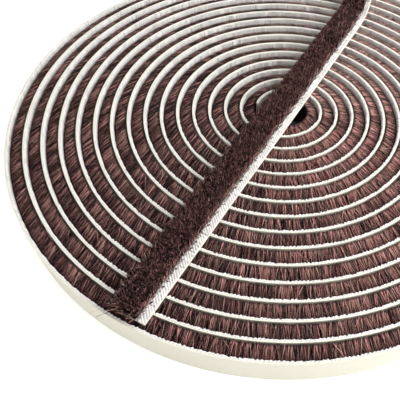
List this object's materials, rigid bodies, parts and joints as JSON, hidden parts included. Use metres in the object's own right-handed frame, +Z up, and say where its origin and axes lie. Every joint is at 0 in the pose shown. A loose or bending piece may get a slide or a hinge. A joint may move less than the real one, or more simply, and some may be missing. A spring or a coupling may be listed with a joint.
{
  "type": "brush seal strip",
  "caption": "Self-adhesive brush pile weather strip wound on edge into a flat open roll, with its outer end laid across the top.",
  "frame": {"origin": "middle of the part's outline, on the floor that the roll lies on", "axes": "+Z up, along the roll's axis; the laid end runs along Y and its cut end is at -Y"},
  "size_m": [0.1414, 0.1408, 0.019],
  "materials": {
    "backing_tape": "woven white polypropylene tape, matt",
    "brush_pile": "brown polypropylene fibre pile",
    "release_liner": "cream release paper over adhesive film, satin"
  },
  "bodies": {
    "root": {"backing_tape": "backing_tape", "brush_pile": "brush_pile", "release_liner": "release_liner"}
  },
  "joints": []
}
